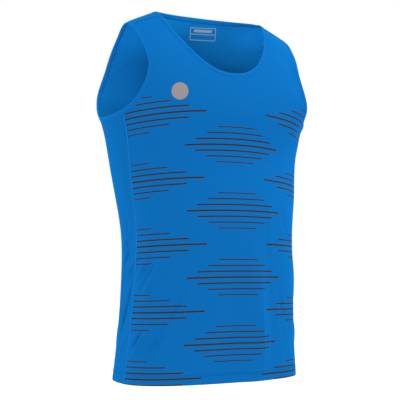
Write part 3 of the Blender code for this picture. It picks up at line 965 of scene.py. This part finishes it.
def front_material():
    """Jersey with the printed lines and the plain disc."""
    cloth = ClothMaterial("front_knit_printed", JERSEY_ROUGHNESS)
    around, height = cloth.cut_map()
    side_lines = line_mask(around, height, GROUPS_TOP, SIDE_GROUP_PLACE, SIDE_GROUP_REACH)
    middle_lines = line_mask(around, height, GROUPS_TOP - GROUP_STEP / 2.0, 0.0, MIDDLE_GROUP_REACH)
    printed = cloth.mix(side_lines.most(middle_lines), cloth.uneven(BLUE, *CLOUDS), PRINT_DARK)
    distance = box_distance(around, height, MARK_PLACE, (MARK_RADIUS, MARK_RADIUS), MARK_RADIUS)
    mark = 1.0 - distance.soft_step(-MARK_SOFT, MARK_SOFT)
    cloth.colour(cloth.mix(mark, printed, MARK_GREY))
    cloth.bump(knit_bump(cloth, around, height), *JERSEY_RELIEF)
    return cloth.material


def back_material():
    """Plain jersey."""
    cloth = ClothMaterial("back_knit", JERSEY_ROUGHNESS)
    around, height = cloth.cut_map()
    cloth.colour(cloth.uneven(BLUE, *CLOUDS))
    cloth.bump(knit_bump(cloth, around, height), *JERSEY_RELIEF)
    return cloth.material


def side_material():
    """Mesh knit: staggered rows of small round holes, shown as darker dimples."""
    cloth = ClothMaterial("side_mesh_knit", MESH_ROUGHNESS)
    around, height = cloth.cut_map()
    row = height / (MESH_STEP * 0.5)
    stagger = (row - (row * 0.5).floor() * 2.0).floor() * 0.5
    x = around / MESH_STEP + stagger
    dx = x - x.floor() - 0.5
    dy = (row - row.floor() - 0.5) * 0.5
    distance = (dx ** 2.0 + dy ** 2.0) ** 0.5
    hole = 1.0 - distance.soft_step(*HOLE_EDGE)
    body = cloth.uneven(BLUE_SIDE, *MESH_CLOUDS)
    cloth.colour(cloth.mix(hole * HOLE_SHARE, body, tone(BLUE_SIDE, HOLE_TONE)))
    cloth.bump(1.0 - hole, *MESH_RELIEF)
    return cloth.material


def inside_material():
    """Wrong side of the knit: soft upright ribs, in a blue made paler and with a faint glow, both painted
    light.
    """
    cloth = ClothMaterial("inside_knit", INSIDE_ROUGHNESS, INSIDE_SHEEN, INSIDE_PAINTED_GLOW)
    around, height = cloth.cut_map()
    rib = (around * (2.0 * math.pi / RIB_STEP)).sin() * 0.5 + 0.5
    cloth.colour(cloth.mix(rib, tone(INSIDE_BLUE_AND_PAINTED_LIGHT, RIB_TONES[0]), tone(INSIDE_BLUE_AND_PAINTED_LIGHT, RIB_TONES[1])))
    cloth.bump(rib, *RIB_RELIEF)
    return cloth.material


def inside_painted_shade(around, height):
    """Painted shade and painted light on the back's wrong side, as a share of its blue.

    Around runs from the centre back to the right.  Under the nape the tone falls with the square of the
    height and to the right, by the armhole it rises in steps with the height, and the two blend between."""
    level, slope, bend = NAPE_CURVE
    curve = level + height * slope + height * height * bend
    level, slope, least, most = NAPE_TILT
    tilt = (level + around * slope).most(least).least(most)
    beside_nape = (around * -1.0).rising_step(*NAPE_LEFT_STEP) + around.rising_step(*NAPE_RIGHT_STEP)
    under_neck = curve * tilt + beside_nape * height.soft_step(*NAPE_HIGH)
    under_arm = ARM_TONE + height.rising_step(*ARM_LOW_STEP) + height.rising_step(*ARM_HIGH_STEP)
    under_arm = under_arm * (ARM_SHARE + around.rising_step(*ARM_RIGHT_STEP))
    beside = around.soft_step(*NAPE_TO_ARM)
    return (under_neck.most(NAPE_SHADE_DARKEST) * (1.0 - beside) + under_arm * beside).least(TOP_PAINTED_LIGHT)


def label_ink(around, height):
    """1 on the printed box: its outline, the line that divides it and the bar above that, all leaning."""
    x = around - (height - LABEL_MIDDLE[1]) * LABEL_LEAN[0]
    y = height + (around - LABEL_MIDDLE[0]) * LABEL_LEAN[1]
    distance = box_distance(x, y, LABEL_MIDDLE, LABEL_HALF, LABEL_CORNER)
    outline = 1.0 - abs(distance + OUTLINE_INSET).soft_step(*LABEL_LINE)
    within = 1.0 - distance.soft_step(*BOX_FADE)
    divider = (1.0 - abs(y - (LABEL_MIDDLE[1] - DIVIDER_DROP)).soft_step(*LABEL_LINE)) * within
    bar_distance = box_distance(x, y, (LABEL_MIDDLE[0], LABEL_MIDDLE[1] + BAR_RISE), BAR_HALF, BAR_CORNER)
    bar = 1.0 - bar_distance.soft_step(*BAR_FADE)
    return outline.most(divider).most(bar)


def inside_back_material():
    """Wrong side of the back: the same ribs under a map of painted shade and painted light, and the plain
    printed box at the nape.
    """
    cloth = ClothMaterial("inside_back_knit_painted_shade", INSIDE_ROUGHNESS, INSIDE_SHEEN, INSIDE_PAINTED_GLOW)
    around, height = cloth.cut_map()
    rib = (around * (2.0 * math.pi / RIB_STEP)).sin() * 0.5 + 0.5
    # painted shade and painted light: the ribbed blue scaled by the map of tones, from black up to its
    # brightest
    darkest, palest = (tone(INSIDE_BLUE_AND_PAINTED_LIGHT, share * TOP_PAINTED_LIGHT) for share in RIB_TONES)
    ribbed = cloth.mix(rib, darkest, palest)
    painted_shading = cloth.mix(inside_painted_shade(around, height) / TOP_PAINTED_LIGHT, tone(INSIDE_BLUE_AND_PAINTED_LIGHT, 0.0), ribbed)
    cloth.colour(cloth.mix(label_ink(around, height) * INK_SHARE, painted_shading, LABEL_GREY))
    cloth.bump(rib, *RIB_RELIEF)
    return cloth.material


def band_material(name, painted_glow=0.0):
    """Binding: fine ribs across the strip, with a painted highlight along its folded edge, and a glow,
    painted light, where a strength is given.
    """
    cloth = ClothMaterial(name, BAND_ROUGHNESS, SHEEN, painted_glow)
    along, across = cloth.cut_map()
    rib = (along * (2.0 * math.pi / BAND_RIB_STEP)).sin() * 0.5 + 0.5
    body = cloth.mix(rib, tone(BLUE, BAND_TONES[0]), tone(BLUE, BAND_TONES[1]))
    # painted highlight: the binding paler along its folded edge, where the fold catches light
    painted_edge_highlight = 1.0 - across.soft_step(*EDGE_HIGHLIGHT_FADE)
    cloth.colour(cloth.mix(painted_edge_highlight * EDGE_HIGHLIGHT_SHARE, body, tone(BLUE, EDGE_HIGHLIGHT_TONE)))
    cloth.bump(rib, *BAND_RELIEF)
    return cloth.material


def thread_material(name, low, high):
    """Thread: the body's blue between two tones, as its twist turns."""
    cloth = ClothMaterial(name, THREAD_ROUGHNESS)
    twist = cloth.noise(*TWIST_GRAIN)
    cloth.colour(cloth.mix(twist, tone(BLUE, low), tone(BLUE, high)))
    return cloth.material


# ---------------------------------------------------------------- the materials
front_knit = front_material()
back_knit = back_material()
mesh_knit = side_material()
inside_knit = inside_material()
inside_back_knit_painted_shade = inside_back_material()
binding_knit = band_material("binding_knit")
# painted light: a glowing copy of the binding for its inner side
binding_inside_painted_glow = band_material("binding_inside_painted_glow", BAND_INSIDE_PAINTED_GLOW)
thread = thread_material("sewing_thread", 0.95, 1.12)
# painted highlight: the seam ridges' thread much paler than the cloth
ridge_painted_highlight_thread = thread_material("seam_ridge_painted_highlight", 1.40, 1.60)
# painted shade: a darker thread for the line where a binding meets the cloth inside
groove_painted_shade = thread_material("groove_painted_shade", 0.78, 0.88)
shoulder_thread = thread_material("shoulder_thread", 0.74, 0.84)

# ---------------------------------------------------------------- edges and seams
neck_outer = neck_edge(NECK_POINTS // 2)
neck_line = march(neck_outer, NECK_BAND)
neck_inner = march(neck_outer, NECK_BAND - UNDER_BAND)
arm_outer = arm_edge(ARM_POINTS)
arm_line = march(arm_outer, ARM_BAND)
arm_inner = march(arm_outer, ARM_BAND - UNDER_BAND)

# the neck's sewn edge, split at the shoulder ridges into its front and its back
ridge = crossings(np.abs(heading_of(neck_inner)) - math.pi / 2.0)
neck_right = nearest_place(ridge, 0.0, NECK_POINTS)
neck_left = nearest_place(ridge, NECK_POINTS / 2, NECK_POINTS)
front_places = even_places(neck_inner, neck_right, neck_left, NECK_FRONT_CELLS)
back_places = even_places(neck_inner, neck_left, neck_right + NECK_POINTS, NECK_BACK_CELLS)
neck_front_line = loop_at(neck_inner, front_places)
neck_back_line = loop_at(neck_inner, back_places)

# the left armhole's sewn edge, split at the shoulder ridge and the two side seams
arm_heading = heading_of(arm_inner)
past_front_seam = arm_heading - np.radians(front_seam(arm_inner[:, 2]))
past_back_seam = arm_heading - np.radians(back_seam(arm_inner[:, 2]))
arm_top = nearest_place(crossings(arm_heading - math.pi / 2.0), 0.0, ARM_POINTS)
arm_front = nearest_place(crossings(past_front_seam), ARM_POINTS * FRONT_SEAM_SHARE, ARM_POINTS)
arm_back = nearest_place(crossings(past_back_seam), ARM_POINTS * BACK_SEAM_SHARE, ARM_POINTS)
arm_front_line = loop_at(arm_inner, even_places(arm_inner, arm_top, arm_front, ARM_FRONT_CELLS))
arm_side_line = loop_at(arm_inner, even_places(arm_inner, arm_front, arm_back, ARM_SIDE_CELLS))
arm_back_line = loop_at(arm_inner, even_places(arm_inner, arm_back, arm_top + ARM_POINTS, ARM_BACK_CELLS))


def seam_line(seam, top_point, shift=0.0, count=SEAM_ROWS):
    """Left side seam from the hem to the armhole, or a line beside it shifted round the body by a length."""
    z = np.linspace(-BODY_LENGTH, top_point[2], count + 1)
    turn = np.radians(seam(z)) + shift / np.linalg.norm(form(np.radians(seam(z)), z)[:, :2], axis=-1)
    line = form(turn, z)
    if shift == 0.0:
        line[-1] = top_point
    return line


def shoulder_line(outer_point, inner_point, count=STRAP_CELLS):
    """Left shoulder seam along the form's ridge, from the armhole to the neck."""
    z = np.linspace(outer_point[2], inner_point[2], count + 1)
    line = form(math.pi / 2.0 + 0.0 * z, z)
    line[0] = outer_point
    line[-1] = inner_point
    return line


def hem_line(start, end, count, rise=0.0):
    """Level line between two headings, at the hem or a rise above it."""
    turns = np.linspace(start, end, count + 1)
    return form(turns, -BODY_LENGTH + rise + 0.0 * turns)


front_seam_line = seam_line(front_seam, arm_front_line[-1])
back_seam_line = seam_line(back_seam, arm_back_line[0])
shoulder = shoulder_line(arm_front_line[0], neck_front_line[-1])
hem_front_heading = math.radians(front_seam(-BODY_LENGTH))
hem_back_heading = math.radians(back_seam(-BODY_LENGTH))

# ---------------------------------------------------------------- cloth panels
front_bottom = hem_line(-hem_front_heading, hem_front_heading, NECK_FRONT_CELLS + 2 * STRAP_CELLS)
front_top = np.concatenate([mirrored(shoulder), neck_front_line[1:-1], shoulder[::-1]])
front_left = np.concatenate([front_seam_line, arm_front_line[::-1][1:]])
front_grid = grid_between(front_bottom, front_top, mirrored(front_left), front_left)

back_bottom = hem_line(hem_back_heading, 2.0 * math.pi - hem_back_heading, NECK_BACK_CELLS + 2 * STRAP_CELLS)
back_top = np.concatenate([shoulder, neck_back_line[1:-1], mirrored(shoulder)[::-1]])
back_left = np.concatenate([back_seam_line, arm_back_line[1:]])
back_grid = grid_between(back_bottom, back_top, back_left, mirrored(back_left))

left_bottom = hem_line(hem_front_heading, hem_back_heading, ARM_SIDE_CELLS)
left_grid = grid_between(left_bottom, arm_side_line, front_seam_line, back_seam_line)
right_bottom = hem_line(-hem_front_heading, -hem_back_heading, ARM_SIDE_CELLS)
right_grid = grid_between(right_bottom, mirrored(arm_side_line), mirrored(front_seam_line),
                          mirrored(back_seam_line))

front_sides = (front_knit, inside_knit)
back_sides = (back_knit, inside_back_knit_painted_shade)
mesh_sides = (mesh_knit, inside_knit)
front_cloth = cloth_sheet("front_cloth", finer(front_grid, FINE), front_sides, sagging=True)
back_cloth = cloth_sheet("back_cloth", finer(back_grid, FINE), back_sides, from_back=True)
left_cloth = cloth_sheet("side_cloth_left", finer(left_grid, FINE), mesh_sides)
right_cloth = cloth_sheet("side_cloth_right", finer(right_grid, FINE), mesh_sides)

# ---------------------------------------------------------------- bindings
# painted light: their inner sides glow faintly where they show, behind the neck and at the back of the right
# armhole, and not at the left armhole
neck_places = even_places(neck_outer, 0.0, NECK_POINTS, BAND_STATIONS)[:-1]
arm_places = even_places(arm_outer, 0.0, ARM_POINTS, BAND_STATIONS)[:-1]
neck_edge_line = loop_at(neck_outer, neck_places)
neck_sewn_line = loop_at(neck_line, neck_places)
arm_edge_line = loop_at(arm_outer, arm_places)
arm_sewn_line = loop_at(arm_line, arm_places)
bands = (binding_knit, binding_inside_painted_glow, inside_knit)
left_bands = (binding_knit, inside_knit, inside_knit)
behind_neck = np.abs(heading_of(neck_edge_line)) > math.radians(NECK_BEHIND)
behind_arm = np.arange(BAND_STATIONS) > BAND_STATIONS // 2
neck_band = band_piece("neck_band", neck_edge_line, neck_sewn_line, NECK_BAND, behind_neck, bands)
left_band = band_piece("arm_band_left", arm_edge_line, arm_sewn_line, ARM_BAND, behind_arm, left_bands)
right_band = band_piece("arm_band_right", mirrored(arm_edge_line), mirrored(arm_sewn_line), ARM_BAND,
                        behind_arm, bands)


# ---------------------------------------------------------------- sewing
def closed_row(edge, line, part):
    """Closed path on the form between a binding's edge and its sewn line."""
    row = on_form(edge * (1.0 - part) + line * part)
    return np.concatenate([row, row[:1]])


def both_sides(paths):
    """Paths of one half and their mirrors."""
    return paths + [mirrored(path) for path in paths]


# rows of stitches
hem_rows = [hem_line(-math.pi, math.pi, HEM_STATIONS, rise) for rise in HEM_ROWS]
hem_lift = CLOTH / 2.0 + HEM_EXTRA / 2.0
band_lift = BAND_THICK * BAND_ROW_LIFT
neck_row = closed_row(neck_edge_line, neck_sewn_line, NECK_ROW)
arm_row = closed_row(arm_edge_line, arm_sewn_line, ARM_ROW)
seam_rows = both_sides([
    seam_line(front_seam, arm_front_line[-1], -SEAM_ROW, SEAM_ROW_STATIONS)[:-SEAM_ROW_ENDS_BEFORE],
    seam_line(back_seam, arm_back_line[0], SEAM_ROW, SEAM_ROW_STATIONS)[:-SEAM_ROW_ENDS_BEFORE],
])
hem_stitches = stitch_rows("hem_stitches", hem_rows, LONG_STITCH, HEM_THREAD, hem_lift, thread)
neck_stitches = stitch_rows("neck_stitches", [neck_row], BAND_STITCH, FINE_THREAD, band_lift, thread)
left_stitches = stitch_rows("arm_stitches_left", [arm_row], BAND_STITCH, FINE_THREAD, band_lift, thread)
right_stitches = stitch_rows("arm_stitches_right", [mirrored(arm_row)], BAND_STITCH, FINE_THREAD, band_lift,
                             thread)
seam_stitches = stitch_rows("seam_stitches", seam_rows, LONG_STITCH, FINE_THREAD, CLOTH / 2.0, thread)

# seams, paler as a painted highlight; the line where a binding meets the cloth inside, a dark strip of
# painted shade; and the long stitches in front of each shoulder
side_seams = both_sides([
    seam_line(front_seam, arm_front_line[-1], 0.0, SEAM_STATIONS),
    seam_line(back_seam, arm_back_line[0], 0.0, SEAM_STATIONS),
])
shoulder_seams = both_sides([shoulder_line(arm_front_line[0], neck_front_line[-1], SHOULDER_SEAM_STATIONS)])
seams = side_seams + shoulder_seams
neck_behind = neck_sewn_line[np.abs(heading_of(neck_sewn_line)) > math.radians(NECK_GROOVE_BEHIND)]
arm_behind = mirrored(arm_sewn_line[BAND_STATIONS // 2:-ARM_GROOVE_ENDS_BEFORE])
shoulder_turns = np.radians(np.linspace(*SHOULDER_TURNS, SHOULDER_ROW_STATIONS))
path_turns, path_heights = zip(*SHOULDER_PATH)
shoulder_heights = np.interp(shoulder_turns, np.radians(path_turns), path_heights)
shoulder_rows = both_sides([form(shoulder_turns, shoulder_heights)])
seam_ridges = ridges("seam_ridges", seams, SEAM_RIDGE, ridge_painted_highlight_thread)
# dark strips of painted shade along the line where a binding meets the cloth inside, behind the neck and at
# the back of the right armhole
neck_painted_shade_strip = ridges("neck_painted_shade_strip", [neck_behind], GROOVE, groove_painted_shade)
armhole_painted_shade_strip = ridges("right_armhole_painted_shade", [arm_behind], GROOVE, groove_painted_shade)
shoulder_stitches = ridges("shoulder_stitches", shoulder_rows, SHOULDER_RIDGE, shoulder_thread)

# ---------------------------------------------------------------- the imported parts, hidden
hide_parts("front_panel")
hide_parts("back_panel")
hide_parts("side_panel_left")
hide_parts("side_panel_right")
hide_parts("neck_binding")
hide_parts("armhole_binding_left")
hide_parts("armhole_binding_right")

# ---------------------------------------------------------------- floor, light and camera
FLOOR_HEIGHT = -1.45
FLOOR_HALF = 14.0
FLOOR_GREY = (0.8, 0.8, 0.8, 1.0)
FLOOR_GLOW = 0.35
WHITE = (1.0, 1.0, 1.0, 1.0)

# name, place, target, size, power
SOFTBOXES = (
    ("right_softbox", (2.0, -0.3, 1.2), (0.0, 0.0, -0.3), (1.2, 2.2), 52.0),
    ("left_softbox", (-1.6, 1.4, 0.5), (0.0, 0.0, -0.3), (1.0, 2.0), 38.0),
    ("front_softbox", (-1.0, -2.4, 0.4), (0.0, 0.0, -0.3), (1.6, 1.6), 20.0),
    ("top_softbox", (0.3, -0.6, 1.9), (0.0, 0.0, -0.2), (1.8, 1.2), 23.0),
)


def studio_floor():
    """Wide pale floor well below the hem."""
    mesh = bpy.data.meshes.new("floor")
    sides = ((-1, -1), (1, -1), (1, 1), (-1, 1))
    corners = [(x * FLOOR_HALF, y * FLOOR_HALF, FLOOR_HEIGHT) for x, y in sides]
    mesh.from_pydata(corners, [], [(0, 1, 2, 3)])
    material = bpy.data.materials.new("pale_floor")
    material.use_nodes = True
    shader = material.node_tree.nodes["Principled BSDF"]
    shader.inputs["Base Color"].default_value = FLOOR_GREY
    shader.inputs["Roughness"].default_value = 1.0
    shader.inputs["Specular IOR Level"].default_value = 0.0
    shader.inputs["Emission Color"].default_value = WHITE
    shader.inputs["Emission Strength"].default_value = FLOOR_GLOW
    mesh.materials.append(material)
    item = bpy.data.objects.new("floor", mesh)
    bpy.context.scene.collection.objects.link(item)


def softbox(name, place, target, size, power):
    """Rectangular lamp at a place, turned towards its target."""
    lamp = bpy.data.lights.new(name, "AREA")
    lamp.shape = "RECTANGLE"
    lamp.size, lamp.size_y = size
    lamp.energy = power
    item = bpy.data.objects.new(name, lamp)
    item.location = place
    item.rotation_euler = (Vector(target) - Vector(place)).to_track_quat("-Z", "Y").to_euler()
    bpy.context.scene.collection.objects.link(item)


studio_floor()
world = bpy.data.worlds.new("studio")
world.use_nodes = True
world.node_tree.nodes["Background"].inputs["Color"].default_value = WHITE
world.node_tree.nodes["Background"].inputs["Strength"].default_value = 1.0
bpy.context.scene.world = world
for row in SOFTBOXES:
    softbox(*row)

# camera: heading and pitch of its place as seen from the garment, small turns of its own, distance in metres
# and focal length in image widths
YAW, PITCH, PAN, ROLL = (math.radians(x) for x in (-29.389, 2.389, 0.314, 0.472))
CAMERA_DISTANCE = 1.9631
CAMERA_HEIGHT = -0.4392
CAMERA_MIDDLE_Y = 0.0024
FOCAL_WIDTHS = 2.5089
SENSOR_WIDTH = 36.0
CLIP_START = 0.05
CLIP_END = 60.0

turn = YAW + PAN
forward = Vector((-math.sin(turn) * math.cos(PITCH), math.cos(turn) * math.cos(PITCH), math.sin(PITCH)))
level_right = Vector((math.cos(turn), math.sin(turn), 0.0))
level_up = level_right.cross(forward)
right = level_right * math.cos(ROLL) + level_up * math.sin(ROLL)
up = level_up * math.cos(ROLL) - level_right * math.sin(ROLL)
lens = bpy.data.cameras.new("camera")
lens.sensor_width = SENSOR_WIDTH
lens.lens = SENSOR_WIDTH * FOCAL_WIDTHS
lens.clip_start = CLIP_START
lens.clip_end = CLIP_END
camera = bpy.data.objects.new("camera", lens)
bpy.context.scene.collection.objects.link(camera)
camera_y = -math.cos(YAW) * CAMERA_DISTANCE + CAMERA_MIDDLE_Y
place = Vector((math.sin(YAW) * CAMERA_DISTANCE, camera_y, CAMERA_HEIGHT))
axes = Matrix((right, up, -forward)).transposed().to_4x4()
camera.matrix_world = Matrix.Translation(place) @ axes
bpy.context.scene.camera = camera
bpy.context.scene.view_settings.view_transform = "Standard"
bpy.context.scene.view_settings.look = "None"
